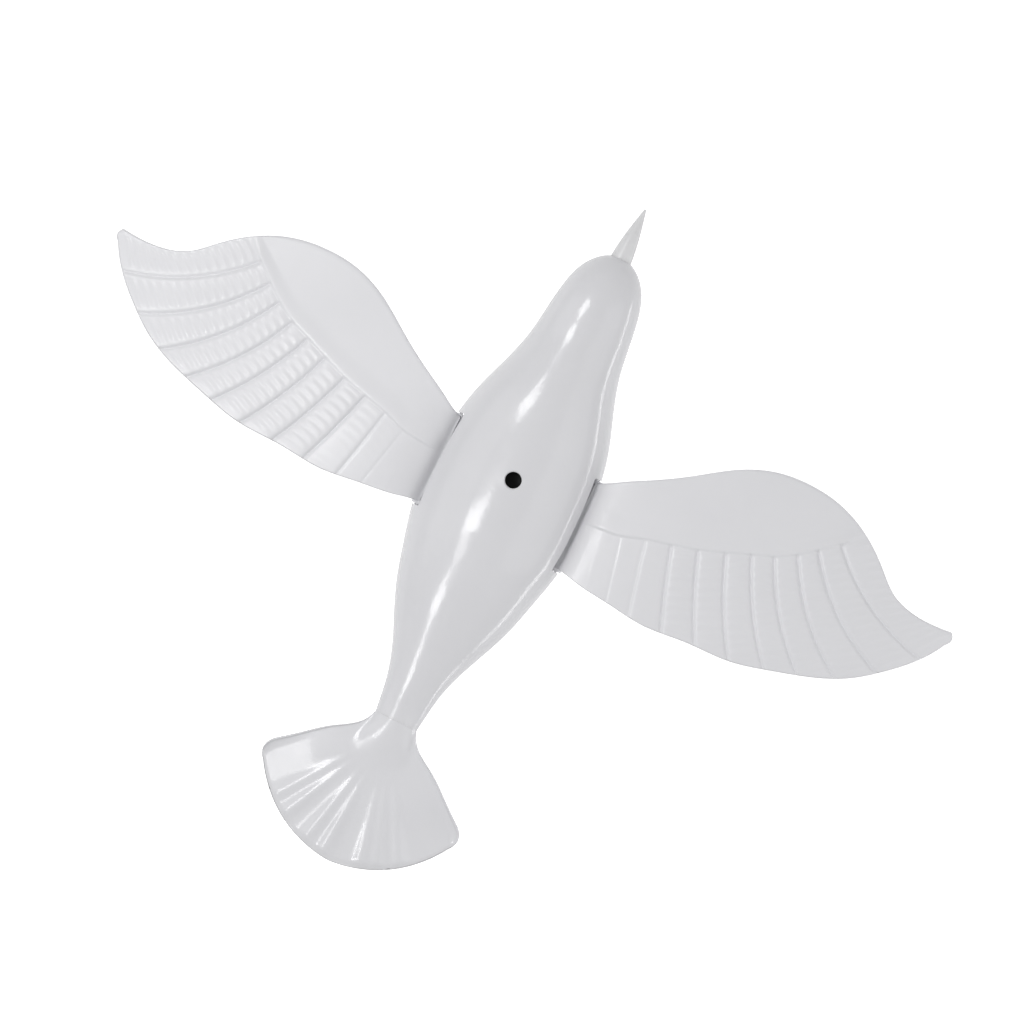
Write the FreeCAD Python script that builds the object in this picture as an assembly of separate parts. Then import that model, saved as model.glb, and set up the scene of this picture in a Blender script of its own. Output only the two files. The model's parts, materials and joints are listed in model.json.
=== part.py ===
import FreeCAD, Part
import math
import os
from FreeCAD import Vector

# Dove-sized flapping-wing decoy, in millimetres.
# Origin: on the stake tube's axis, at the parting plane of the two body shells.
# +X towards the right wing tip, +Y towards the beak, +Z out of the bird's back.

# ---------------------------------------------------------------- driving dimensions
WALL = 2.0                    # shell wall
NECK_Y = -112.0               # where the shells end and the tail starts
NOSE_Y = 103.2                # where the shells end and the beak starts

# Body sections: station y, half width, height of the back, depth of the belly.
BODY_STATIONS = [
    (NOSE_Y, 4.9, 4.4, 4.6),
    (101.0, 8.6, 7.4, 7.4),
    (97.5, 12.0, 10.2, 10.2),
    (92.0, 15.2, 13.1, 13.1),
    (84.0, 17.5, 15.7, 15.6),
    (73.0, 19.2, 17.2, 17.6),
    (66.0, 20.05, 17.7, 18.8),
    (60.0, 21.0, 18.7, 20.2),
    (45.0, 25.2, 22.0, 23.8),
    (28.0, 31.0, 24.9, 27.6),
    (10.0, 34.3, 26.0, 30.2),
    (-8.0, 35.0, 26.2, 30.2),
    (-26.0, 34.3, 25.6, 27.6),
    (-42.0, 30.7, 23.2, 23.4),
    (-58.0, 26.3, 19.6, 19.2),
    (-72.0, 20.8, 15.6, 15.4),
    (-86.0, 15.0, 11.6, 11.8),
    (-99.0, 11.5, 8.5, 8.7),
    (NECK_Y, 9.7, 6.5, 6.5),
]

STAKE_HOLE_R = 3.5            # hole in the back, and the upper end of the tube under it
STAKE_HOLE_RIM = 1.2          # bevel round the hole in the back
BACK_HEIGHT = 26.2            # of the back at the hole
STAKE_BORE_R = 3.3            # bore of the tube that takes the stake from below
STAKE_STOP_Z = (8.0, 10.5)    # web across the tube that the stake's end seats on
STAKE_TUBE_R = 5.4
STAKE_TOP = 23.5
STAKE_BOTTOM = -31.2          # just proud of the belly
STAKE_COLLAR_R = 7.0          # collar of the tube, which rests on the belly's socket
STAKE_COLLAR = 2.0
STAKE_BOSS_Z = (-22.5, 17.5)  # where the shells' sockets for the tube start

BEAK_TIP_Y = 127.0
BEAK_DROOP = 1.6
BEAK_PEG_R = 2.4
BEAK_PEG_Y = (NOSE_Y - 6.0, NOSE_Y + 1.0)
TAIL_THICKNESS = 2.6
TONGUE_HALF_HEIGHT = 1.5      # tongue of the tail, clamped between the shells

HINGE_X = 31.0                # wing hinge axis, at z = 0 and along Y
BARREL_R = 4.0
BARREL_Y = (-26.5, 15.5)
BAY_Y = (-27.0, 16.0)         # recess of the shells round the wing root
BAY_X = 26.2
BAY_Z = (-6.8, 11.0)
BAY_CORNER_R = 1.5
BAY_END_WALL = 3.0
HINGE_PIN_R = 1.25
RUNNING_CLEARANCE = 0.05

BLADE_ROOT_X = 32.3
BLADE_THICKNESS = 1.6
FLANGE_THICKNESS = 2.0
FLANGE_DEPTH = 12.0           # reach of the hub's ribs below the flange
WING_TIP_X = 195.6
PEG_X = 42.0
PEG_Y = (-18.0, -5.0, 8.0)
PEG_R = 1.2
BOSS_BOTTOM = 2.5
BOSS_R = 3.0
CLIP_R = 2.6
CLIP_THICKNESS = 1.1

# Outlines of the right wing and of the tail's right half, seen from above.
LEADING_EDGE = [
    (BLADE_ROOT_X, 14.6), (36.0, 16.3), (42.0, 19.9), (50.0, 24.4), (66.0, 34.1),
    (84.0, 46.1), (98.0, 51.6), (113.0, 53.1), (128.0, 51.1), (144.0, 44.0),
    (156.0, 34.6), (165.0, 27.0), (174.0, 23.7), (184.0, 22.8), (194.0, 23.5),
]
WING_TIP = [(194.0, 23.5), (WING_TIP_X, 21.3), (193.8, 17.4)]
TRAILING_EDGE = [
    (193.8, 17.4), (187.0, 7.3), (177.0, -2.6), (165.0, -11.9), (150.0, -19.1),
    (134.0, -24.0), (114.0, -28.7), (94.0, -29.5), (76.0, -31.0), (58.0, -29.1),
    (44.0, -27.4), (35.3, -25.6), (BLADE_ROOT_X, -25.2),
]
TAIL_SIDE = [(9.9, -113.0), (12.6, -118.0), (23.7, -126.0), (34.2, -134.4), (43.0, -141.4)]
TAIL_CORNER = [(43.0, -141.4), (45.6, -146.6), (43.4, -151.8)]
TAIL_END = [(43.4, -151.8), (37.6, -159.6), (28.4, -168.0), (17.0, -174.2), (0.0, -178.0)]

# Neck of the tail: station y, half width, height, depth.
TAIL_NECK = [
    (NECK_Y, 9.7, 6.5, 6.5),
    (-117.0, 10.6, 5.6, 5.6),
    (-124.0, 13.6, 3.9, 4.1),
    (-132.0, 15.5, 2.3, 2.7),
    (-140.0, 15.5, 1.4, 1.6),
]

PRESSURE_ANGLE = math.radians(25.0)
ADDENDUM = 0.8                # in modules
DEDENDUM = 1.0
BACKLASH = 0.05               # taken off each flank
SECTOR_MODULE = 0.8
SECTOR_TEETH = 20             # of the full circle the sector is cut from
SECTOR_SPAN = math.radians(35.0)
SECTOR_R = SECTOR_MODULE * SECTOR_TEETH / 2
RACK_X = HINGE_X - SECTOR_R
RACK_Y = (-14.0, -9.0)

GEAR_MODULE = 0.5
CRANK_TEETH = 36
IDLER_PINION_TEETH = 12
IDLER_WHEEL_TEETH = 38
MOTOR_PINION_TEETH = 10
IDLER_Z = -GEAR_MODULE * (CRANK_TEETH + IDLER_PINION_TEETH) / 2
CRANK_RADIUS = 3.5
YOKE_Y = (-14.0, -11.0)
GUIDE_X = 14.0
GUIDE_Y = -12.5
GUIDE_R = 1.5
FRONT_PLATE_Y = (-21.0, -18.0)
REAR_PLATE_Y = (-35.0, -33.0)
STANDOFFS = [(13.0, 9.0), (-13.0, 9.0), (12.0, -16.5), (-12.0, -16.5)]
FOOT_Z = (-19.0, -17.0)
FEET = [(10.5, -14.0), (-10.5, -14.0), (6.5, -39.5), (-6.5, -39.5)]

CRANK_SHAFT_R = 1.5
CRANK_SHAFT_Y = (-27.3, -15.5)
IDLER_AXLE_R = 1.0

MOTOR_R = 10.0
MOTOR_FLAT = 7.6              # half the can's height across its flats
MOTOR_Y = (-60.0, REAR_PLATE_Y[0])
MOTOR_CAP_Y = (-63.0, MOTOR_Y[0])
MOTOR_BOSS_R = 3.0
MOTOR_SHAFT_R = 1.0
MOTOR_SCREW_X = 6.5

CELL_R = 7.1
CELL_X = 7.5
CELL_Z = -5.0
CELL_BODY = 49.2
CELL_NUB = 1.3
TRAY_Y = (8.0, 60.5)          # between the two rows of contacts
TRAY_HALF = 16.0
TRAY_LUG_X = 20.5
TRAY_LUG_THICKNESS = 1.5
TRAY_LUG_Y = (37.5, 46.5)
CONTACT_THICKNESS = 0.5

DOOR_HALF = 16.2
DOOR_GAP = 0.3
DOOR_HINGE_Y = 7.85
DOOR_HINGE_Z = -31.0
DOOR_REACH = 53.3             # from the hinge axis to the door's front edge
KNUCKLE_R = 1.5
DOOR_KNUCKLE_X = 4.7          # half length of the door's own knuckle
SHELL_KNUCKLE_X = (5.0, 9.0)
DOOR_PIN_R = 0.75
DOOR_SCREW_Y = 56.0
DOOR_HEAD_R = 2.6
DOOR_SEAT = -20.2             # under the door screw's head
LEDGE_Z = (-16.6, -14.8)      # ledge of the shell that the door screw bites in

SWITCH_Y = -72.0
SWITCH_TRAVEL = 4.0
SWITCH_HALF_WIDTH = 4.5
SWITCH_HALF_LENGTH = 6.5
SWITCH_DEPTH = 9.6
SWITCH_SLOT = SWITCH_TRAVEL / 2 + 2.4

LEAD_R = 0.6
LEAD_BEND = 3.0
CONTACT_BACK = TRAY_Y[0] - CONTACT_THICKNESS
TERMINAL_END = MOTOR_CAP_Y[0] - 3.2

SCREW_R = 1.2
SCREW_HEAD_R = 2.4
SCREW_SEAT = -4.0
SCREW_TIP = 7.0
TAIL_SCREW_TIP = 5.5
FOOT_SCREW_R = 1.0
SCREW_PLAY = 0.15             # round a screw in the part it clamps
SHELL_SCREWS = [(0.0, 86.0), (20.5, 42.0), (-20.5, 42.0), (18.5, -58.0), (-18.5, -58.0), (0.0, -103.0)]
POST_R = 3.2
FAR = 60.0                    # beyond the body in every direction

nodes = {}


# ---------------------------------------------------------------- shared shapes
def box(x_range, y_range, z_range):
    size = (x_range[1] - x_range[0], y_range[1] - y_range[0], z_range[1] - z_range[0])
    return Part.makeBox(size[0], size[1], size[2], Vector(x_range[0], y_range[0], z_range[0]))


def rod_x(radius, x_range, y, z):
    return Part.makeCylinder(radius, x_range[1] - x_range[0], Vector(x_range[0], y, z), Vector(1, 0, 0))


def rod_y(radius, y_range, x=0.0, z=0.0):
    return Part.makeCylinder(radius, y_range[1] - y_range[0], Vector(x, y_range[0], z), Vector(0, 1, 0))


def rod_z(radius, z_range, x=0.0, y=0.0):
    return Part.makeCylinder(radius, z_range[1] - z_range[0], Vector(x, y, z_range[0]), Vector(0, 0, 1))


def mirrored(shape):
    return shape.mirror(Vector(0, 0, 0), Vector(1, 0, 0))


def spline(points):
    curve = Part.BSplineCurve()
    curve.interpolate(Points=points)
    return curve.toShape()


def prism(edges, direction):
    return Part.Face(Part.Wire(Part.__sortEdges__(edges))).extrude(direction)


def polygon(points):
    return [Part.LineSegment(a, b).toShape() for a, b in zip(points, points[1:] + points[:1])]


def joined(shapes):
    return shapes[0].multiFuse(shapes[1:]).removeSplitter()


# ---------------------------------------------------------------- body shells
def section_ring(y, half_width, up, down):
    count = 24
    points = []
    for step in range(count):
        angle = 2 * math.pi * step / count
        height = up if math.sin(angle) >= 0 else down
        points.append(Vector(half_width * math.cos(angle), y, height * math.sin(angle)))
    ring = Part.BSplineCurve()
    ring.interpolate(Points=points, PeriodicFlag=True)
    return Part.Wire([ring.toShape()])


def body_loft(inset):
    """The body's outer form moved inwards by inset, square to its side lines."""
    rings = []
    last = len(BODY_STATIONS) - 1
    for index, (y, half_width, up, down) in enumerate(BODY_STATIONS):
        ahead = BODY_STATIONS[max(index - 1, 0)]
        behind = BODY_STATIONS[min(index + 1, last)]
        tilt = math.atan2(ahead[1] - behind[1], ahead[0] - behind[0])
        shrink = inset * math.cos(tilt)
        if index == last and inset > 0:
            ring_y = y - 1.0
        else:
            ring_y = y + inset * math.sin(tilt)
        rings.append(section_ring(ring_y, half_width - shrink, up - shrink, down - shrink))
    return Part.makeLoft(rings, True, False)


def wing_bay(wall, end_wall):
    """Slot in the right flank that the wing root works in, grown by its walls."""
    y_range = (BAY_Y[0] - end_wall, BAY_Y[1] + end_wall)
    slot = box((BAY_X - wall, FAR), y_range, (BAY_Z[0] - wall, BAY_Z[1] + wall))
    long_edges = [edge for edge in slot.Edges if edge.BoundBox.XLength > FAR / 2]
    return slot.makeFillet(BAY_CORNER_R, long_edges)


def shell_pair():
    """The hollow body with its wing bays, before it is parted at z = 0."""
    bay = wing_bay(0, 0)
    walled_bay = wing_bay(WALL, BAY_END_WALL)
    outer = body_loft(0).cut(bay).cut(mirrored(bay))
    inner = body_loft(WALL).cut(walled_bay).cut(mirrored(walled_bay))
    hollow = outer.cut(inner)
    sector_slot = box((RACK_X - 1.0, HINGE_X - 0.5), (RACK_Y[0] - 1.0, RACK_Y[1] + 1.0), (-8.8, 7.8))
    pin_hole = rod_y(HINGE_PIN_R, (BAY_Y[0] - BAY_END_WALL, BAY_Y[1] + BAY_END_WALL), HINGE_X)
    for tool in (sector_slot, pin_hole):
        hollow = hollow.cut(tool).cut(mirrored(tool))
    return hollow.cut(rod_y(BEAK_PEG_R, BEAK_PEG_Y))


def upper_shell(hollow, within):
    half = hollow.common(box((-FAR, FAR), (-2 * FAR, 2 * FAR), (0, FAR)))
    parts = [half]
    for x, y in SHELL_SCREWS:
        low = TONGUE_HALF_HEIGHT if y < NECK_Y + 15 else 0.0
        parts.append(rod_z(POST_R, (low, FAR), x, y).common(within))
    parts.append(rod_z(STAKE_TUBE_R + WALL, (STAKE_BOSS_Z[1], FAR)).common(within))
    shell = joined(parts)
    for x, y in SHELL_SCREWS:
        shell = shell.cut(rod_z(SCREW_R, (-1.0, SCREW_TIP), x, y))
    shell = shell.cut(rod_z(STAKE_TUBE_R, (0, STAKE_TOP)))
    shell = shell.cut(rod_z(STAKE_HOLE_R, (0, FAR)))
    start = Vector(0, 0, BACK_HEIGHT - STAKE_HOLE_RIM / 2)
    rim = Part.makeCone(STAKE_HOLE_R, STAKE_HOLE_R + STAKE_HOLE_RIM, STAKE_HOLE_RIM, start, Vector(0, 0, 1))
    return shell.cut(rim)


def locating_lip():
    """Thin wall on the lower shell that centres the upper one."""
    hollow_side = body_loft(WALL + 1.1)
    y_range = (NECK_Y + 22, NOSE_Y - 12)
    root = body_loft(WALL - 0.4).common(box((-FAR, FAR), y_range, (-1.5, 0.0)))
    tongue = body_loft(WALL + 0.1).common(box((-FAR, FAR), y_range, (0.0, 1.5)))
    lip = root.fuse(tongue).cut(hollow_side)
    for side in (-1, 1):
        x_range = sorted((side * 20.0, side * FAR))
        lip = lip.cut(box(x_range, (BAY_Y[0] - 5, BAY_Y[1] + 5), (-2, 2)))
    lip = lip.cut(box((-FAR, FAR), (TRAY_LUG_Y[0] - 0.5, TRAY_LUG_Y[1] + 0.5), (-2, 2)))
    for x, y in SHELL_SCREWS:
        lip = lip.cut(rod_z(POST_R + 0.4, (-2, 2), x, y))
    return lip


def door_form(gap):
    """Cutting form of the battery door; its front edge is an arc about the hinge."""
    sides = box((-DOOR_HALF - gap, DOOR_HALF + gap), (DOOR_HINGE_Y + 0.15 - gap, 75.0), (-FAR, -6.0))
    return sides.common(rod_x(DOOR_REACH + gap, (-FAR, FAR), DOOR_HINGE_Y, DOOR_HINGE_Z))


def knuckles(x_ranges, y_side):
    """Barrels on the door's hinge axis, each with a web to the wall beside it."""
    parts = []
    for x_range in x_ranges:
        parts.append(rod_x(KNUCKLE_R, x_range, DOOR_HINGE_Y, DOOR_HINGE_Z))
        y_range = sorted((DOOR_HINGE_Y, DOOR_HINGE_Y + y_side * 4.0))
        parts.append(box(x_range, y_range, (DOOR_HINGE_Z - 0.9, DOOR_HINGE_Z + 2.6)))
    return joined(parts)


def lower_shell(hollow, within):
    half = hollow.common(box((-FAR, FAR), (-2 * FAR, 2 * FAR), (-FAR, 0)))
    half = half.cut(door_form(DOOR_GAP))
    near = SHELL_KNUCKLE_X[0]
    half = half.cut(box((-near, near), (5.9, DOOR_HINGE_Y + 0.2), (-FAR, -6.0)))
    parts = [half, locating_lip()]
    for x, y in SHELL_SCREWS:
        top = 0.0
        if y < NECK_Y + 15:
            top = -TONGUE_HALF_HEIGHT
        if abs(x) == TRAY_LUG_X:
            top = -TRAY_LUG_THICKNESS
        parts.append(rod_z(POST_R, (-FAR, top), x, y).common(within))
    for x, y in FEET:
        parts.append(rod_z(2.6, (-FAR, FOOT_Z[0]), x, y).common(within))
    parts.append(rod_z(STAKE_TUBE_R + WALL, (-FAR, STAKE_BOSS_Z[0])).common(within))
    parts.append(box((-5.0, 5.0), (DOOR_SCREW_Y - 3.0, DOOR_SCREW_Y + 16.0), LEDGE_Z).common(within))
    for side in (-1, 1):
        x_range = sorted((side * SWITCH_HALF_WIDTH, side * (SWITCH_HALF_WIDTH + 1.4)))
        parts.append(box(x_range, (SWITCH_Y - 7, SWITCH_Y + 7), (-FAR, -6.5)).common(within))
    shell = joined(parts)
    for x, y in SHELL_SCREWS:
        shell = shell.cut(rod_z(SCREW_HEAD_R + 0.3, (-FAR, SCREW_SEAT), x, y))
        shell = shell.cut(rod_z(SCREW_R + SCREW_PLAY, (-FAR, 1.0), x, y))
    for x, y in FEET:
        shell = shell.cut(rod_z(FOOT_SCREW_R, (FOOT_Z[0] - 3.0, FOOT_Z[0]), x, y))
    shell = shell.cut(rod_z(STAKE_TUBE_R, (-FAR, 0)))
    shell = shell.cut(rod_z(1.8, (LEDGE_Z[0] - 1, LEDGE_Z[1] + 1), 0, DOOR_SCREW_Y))
    slot_y = (SWITCH_Y - SWITCH_SLOT, SWITCH_Y + SWITCH_SLOT)
    shell = shell.cut(box((-2.1, 2.1), slot_y, (-FAR, -SWITCH_DEPTH)))
    near, far = SHELL_KNUCKLE_X
    shell = joined([shell, knuckles([(-far, -near), (near, far)], -1)])
    return shell.cut(rod_x(DOOR_PIN_R, (-far, far), DOOR_HINGE_Y, DOOR_HINGE_Z))


# ---------------------------------------------------------------- beak and tail
def beak():
    rings = []
    for share, half_width, half_height in [(0, 4.7, 4.2), (0.35, 3.7, 3.3), (0.7, 2.1, 2.0), (1, 0.5, 0.6)]:
        y = NOSE_Y + share * (BEAK_TIP_Y - NOSE_Y)
        ring = section_ring(y, half_width, half_height, half_height)
        ring.translate(Vector(0, 0, -BEAK_DROOP * share * share))
        rings.append(ring)
    cone = Part.makeLoft(rings, True, False)
    peg = rod_y(BEAK_PEG_R, BEAK_PEG_Y)
    return joined([cone, peg])


def tail_height(x, y):
    """Upper face of the tail plate: arched across, and turned down at its end."""
    aft = (NECK_Y - y) / 66.0
    return 2.2 - 2.6 * (x / 45.0) ** 2 - 2.0 * aft * aft


def tail_outline():
    edges = []
    for mirror in (1, -1):
        for points in (TAIL_SIDE, TAIL_CORNER, TAIL_END):
            edges.append(spline([Vector(mirror * x, y, -FAR) for x, y in points]))
    x, y = TAIL_SIDE[0]
    edges.append(Part.LineSegment(Vector(-x, y, -FAR), Vector(x, y, -FAR)).toShape())
    return edges


def height_face(height, x_values, y_values, drop):
    grid = [[Vector(x, y, height(x, y) - drop) for y in y_values] for x in x_values]
    surface = Part.BSplineSurface()
    surface.interpolate(grid)
    return surface.toShape()


def tail_fan():
    x_values = [-50 + 10.0 * step for step in range(11)]
    y_values = [-182 + 12.0 * step for step in range(7)]
    slab = height_face(tail_height, x_values, y_values, 0).extrude(Vector(0, 0, -TAIL_THICKNESS))
    plate = slab.common(prism(tail_outline(), Vector(0, 0, 2 * FAR)))
    rings = []
    for y, half_width, up, down in TAIL_NECK:
        rings.append(section_ring(y, half_width, up, down))
    neck = Part.makeLoft(rings, True, False)
    tongue = box((-6.0, 6.0), (NECK_Y - 4.0, NECK_Y + 14.0), (-TONGUE_HALF_HEIGHT, TONGUE_HALF_HEIGHT))
    fan = joined([plate, neck, tongue])
    return fan.cut(rod_z(SCREW_R + SCREW_PLAY, (-FAR, FAR), 0, SHELL_SCREWS[-1][1]))


# ---------------------------------------------------------------- screws
def screw(seat, direction, shank_r, length, head_r, head_height):
    """Pan-head screw whose shank runs from seat along direction."""
    shank = Part.makeCylinder(shank_r, length, seat, direction)
    head = Part.makeCylinder(head_r, head_height, seat, direction * -1)
    recess_at = seat - direction * head_height
    recess = Part.makeCylinder(0.45 * head_r, 0.5 * head_height, recess_at, direction)
    return shank.fuse(head).cut(recess)


def shell_screws():
    up = Vector(0, 0, 1)
    parts = []
    for x, y in SHELL_SCREWS:
        tip = SCREW_TIP if y > NECK_Y + 15 else TAIL_SCREW_TIP
        parts.append(screw(Vector(x, y, SCREW_SEAT), up, SCREW_R, tip - SCREW_SEAT, SCREW_HEAD_R, 1.6))
    return Part.makeCompound(parts)


def foot_screws():
    down = Vector(0, 0, -1)
    return Part.makeCompound([screw(Vector(x, y, FOOT_Z[1]), down, FOOT_SCREW_R, 3.2, 2.0, 1.3)
                              for x, y in FEET])


def gearbox_screws():
    seat_y = REAR_PLATE_Y[0]
    forward = Vector(0, 1, 0)
    return Part.makeCompound([screw(Vector(x, seat_y, z), forward, 1.0, 8.0, 1.9, 1.3) for x, z in STANDOFFS])


def motor_screws():
    seat_y = REAR_PLATE_Y[1]
    back = Vector(0, -1, 0)
    return Part.makeCompound([screw(Vector(x, seat_y, 0), back, 1.0, 4.0, 1.8, 1.2)
                              for x in (-MOTOR_SCREW_X, MOTOR_SCREW_X)])


# ---------------------------------------------------------------- stake tube
def stake_tube():
    """Tube open at both ends, with a web across it that stops the stake and a collar round it."""
    socket_end = STAKE_BOSS_Z[0]
    tube = rod_z(STAKE_TUBE_R, (STAKE_BOTTOM, STAKE_TOP))
    tube = tube.fuse(rod_z(STAKE_COLLAR_R, (socket_end, socket_end + STAKE_COLLAR)))
    tube = tube.cut(rod_z(STAKE_BORE_R, (STAKE_BOTTOM, STAKE_STOP_Z[0])))
    return tube.cut(rod_z(STAKE_HOLE_R, (STAKE_STOP_Z[1], STAKE_TOP)))


# ---------------------------------------------------------------- gear teeth
def involute(angle):
    return math.tan(angle) - angle


def tooth_half_angle(radius, pitch_r, teeth):
    """Half of a tooth's angular width at a radius, from its involute flank."""
    base_r = pitch_r * math.cos(PRESSURE_ANGLE)
    at_radius = math.acos(min(1.0, base_r / max(radius, base_r)))
    at_pitch = math.pi / (2 * teeth) - BACKLASH / pitch_r
    return at_pitch + involute(PRESSURE_ANGLE) - involute(at_radius)


def spur_gear(module, teeth, phase, y_range, centre_x=0.0, centre_z=0.0):
    """Spur gear along Y with one tooth centred at the angle phase, from +X towards +Z."""
    pitch_r = module * teeth / 2
    tip_r = pitch_r + ADDENDUM * module
    root_r = pitch_r - DEDENDUM * module
    flank_r = max(root_r, pitch_r * math.cos(PRESSURE_ANGLE))
    radii = [flank_r + (tip_r - flank_r) * step / 3 for step in range(4)]

    def at(radius, angle):
        return Vector(centre_x + radius * math.cos(angle), y_range[0], centre_z + radius * math.sin(angle))

    edges = []
    for tooth in range(teeth):
        middle = phase + 2 * math.pi * tooth / teeth
        widths = [tooth_half_angle(radius, pitch_r, teeth) for radius in radii]
        for side in (-1, 1):
            flank = [at(radius, middle + side * width) for radius, width in zip(radii, widths)]
            edges.append(spline(flank))
            if flank_r > root_r:
                foot = at(root_r, middle + side * widths[0])
                edges.append(Part.LineSegment(foot, flank[0]).toShape())
        tip = (at(tip_r, middle - widths[-1]), at(tip_r, middle), at(tip_r, middle + widths[-1]))
        edges.append(Part.Arc(*tip).toShape())
        gap = middle + math.pi / teeth
        next_foot = middle + 2 * math.pi / teeth - widths[0]
        root = (at(root_r, middle + widths[0]), at(root_r, gap), at(root_r, next_foot))
        edges.append(Part.Arc(*root).toShape())
    return prism(edges, Vector(0, y_range[1] - y_range[0], 0))


def rack_teeth():
    """Teeth of the right rack, pointing +X, with one tooth at z = 0."""
    pitch = math.pi * SECTOR_MODULE
    half = pitch / 4 - BACKLASH
    tip = ADDENDUM * SECTOR_MODULE
    root = DEDENDUM * SECTOR_MODULE
    slope = math.tan(PRESSURE_ANGLE)
    parts = []
    for index in range(-2, 3):
        z = index * pitch
        outline = [
            Vector(RACK_X - root - 0.5, RACK_Y[0], z - half - root * slope),
            Vector(RACK_X - root, RACK_Y[0], z - half - root * slope),
            Vector(RACK_X + tip, RACK_Y[0], z - half + tip * slope),
            Vector(RACK_X + tip, RACK_Y[0], z + half - tip * slope),
            Vector(RACK_X - root, RACK_Y[0], z + half + root * slope),
            Vector(RACK_X - root - 0.5, RACK_Y[0], z + half + root * slope),
        ]
        parts.append(prism(polygon(outline), Vector(0, RACK_Y[1] - RACK_Y[0], 0)))
    return parts


# ---------------------------------------------------------------- wings
def wing_height(x, y):
    """Upper face of the right wing: steep at the root, flat along the span, drooping to the tip."""
    reach = (x - BLADE_ROOT_X) / (WING_TIP_X - BLADE_ROOT_X)
    rise = 5.6 * (1 - math.exp((BLADE_ROOT_X - x) / 7.0))
    camber = 3.2 * ((y - 8.0) / 45.0) ** 2
    return 5.9 + rise - 13.0 * reach * abs(reach) - camber


def wing_outline():
    edges = []
    for points in (LEADING_EDGE, WING_TIP, TRAILING_EDGE):
        edges.append(spline([Vector(x, y, -FAR) for x, y in points]))
    ends = (TRAILING_EDGE[-1], LEADING_EDGE[0])
    edges.append(Part.LineSegment(Vector(*ends[0], -FAR), Vector(*ends[1], -FAR)).toShape())
    return edges


def wing_slab(drop, thickness):
    """Slab of the blade's form, its top face lowered by drop."""
    steps = 24
    x_start = BLADE_ROOT_X - 4.0
    x_end = WING_TIP_X + 4.0
    x_values = [x_start + (x_end - x_start) * (step / steps) ** 1.5 for step in range(steps + 1)]
    y_values = [-40 + 12.5 * step for step in range(9)]
    return height_face(wing_height, x_values, y_values, drop).extrude(Vector(0, 0, -thickness))


def wing_blade():
    slab = wing_slab(0, BLADE_THICKNESS)
    blade = slab.common(prism(wing_outline(), Vector(0, 0, 2 * FAR)))
    pegs = []
    for y in PEG_Y:
        top = wing_height(PEG_X, y) - BLADE_THICKNESS / 2
        pegs.append(rod_z(PEG_R, (BOSS_BOTTOM - CLIP_THICKNESS - 0.5, top), PEG_X, y))
    return joined([blade] + pegs)


def wing_hub():
    slab = wing_slab(BLADE_THICKNESS, FLANGE_THICKNESS)
    flange = slab.common(box((BLADE_ROOT_X, PEG_X + 5.5), (-24.0, 13.0), (-FAR, FAR)))
    parts = [rod_y(BARREL_R, BARREL_Y, HINGE_X), flange]
    under_flange = wing_slab(BLADE_THICKNESS + FLANGE_THICKNESS / 2, FLANGE_DEPTH)
    for y in PEG_Y:
        top = wing_height(PEG_X, y) - BLADE_THICKNESS - FLANGE_THICKNESS / 2
        parts.append(rod_z(BOSS_R, (BOSS_BOTTOM, top), PEG_X, y))
        rib = box((HINGE_X + 2.0, PEG_X), (y - 0.9, y + 0.9), (BOSS_BOTTOM, FAR))
        parts.append(rib.common(under_flange))
    gear = spur_gear(SECTOR_MODULE, SECTOR_TEETH, math.pi + math.pi / SECTOR_TEETH, RACK_Y, HINGE_X)
    wedge = []
    for side in (-1, 1):
        angle = math.pi + side * SECTOR_SPAN
        wedge.append(Vector(HINGE_X + 20 * math.cos(angle), RACK_Y[0], 20 * math.sin(angle)))
    wedge.append(Vector(HINGE_X, RACK_Y[0], 0))
    parts.append(gear.common(prism(polygon(wedge), Vector(0, RACK_Y[1] - RACK_Y[0], 0))))
    hub = joined(parts)
    hub = hub.cut(rod_y(HINGE_PIN_R + RUNNING_CLEARANCE, (-FAR, FAR), HINGE_X))
    for y in PEG_Y:
        hub = hub.cut(rod_z(PEG_R + 0.05, (-FAR, FAR), PEG_X, y))
    return hub


def wing_clips():
    rings = []
    for y in PEG_Y:
        ring = rod_z(CLIP_R, (BOSS_BOTTOM - CLIP_THICKNESS, BOSS_BOTTOM), PEG_X, y)
        rings.append(ring.cut(rod_z(PEG_R, (-FAR, FAR), PEG_X, y)))
    return Part.makeCompound(rings)


def hinge_pin():
    return rod_y(HINGE_PIN_R, (BAY_Y[0] - BAY_END_WALL, BAY_Y[1] + BAY_END_WALL), HINGE_X)


# ---------------------------------------------------------------- wing drive
def rack_yoke():
    """Cross bar with a rack at each end; the crank pin works in its slot."""
    right_rack = [box((17.5, RACK_X - DEDENDUM * SECTOR_MODULE), RACK_Y, (-6.0, 6.0))] + rack_teeth()
    parts = [box((-18.0, 18.0), YOKE_Y, (-4.0, 4.0))] + right_rack + [mirrored(piece) for piece in right_rack]
    for side in (-1, 1):
        x_range = (side * GUIDE_X - 2.9, side * GUIDE_X + 2.9)
        parts.append(box(x_range, (GUIDE_Y - 2.9, GUIDE_Y + 2.9), (-5.0, 5.0)))
    yoke = joined(parts)
    for side in (-1, 1):
        yoke = yoke.cut(rod_z(GUIDE_R + RUNNING_CLEARANCE, (-FAR, FAR), side * GUIDE_X, GUIDE_Y))
    slot = box((-CRANK_RADIUS, CRANK_RADIUS), (-20.0, -5.0), (-1.3, 1.3))
    slot_ends = [rod_y(1.3, (-20.0, -5.0), side * CRANK_RADIUS) for side in (-1, 1)]
    return yoke.cut(joined([slot] + slot_ends))


def guide_rods():
    return Part.makeCompound([rod_z(GUIDE_R, (-15.0, 15.0), side * GUIDE_X, GUIDE_Y) for side in (-1, 1)])


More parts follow.
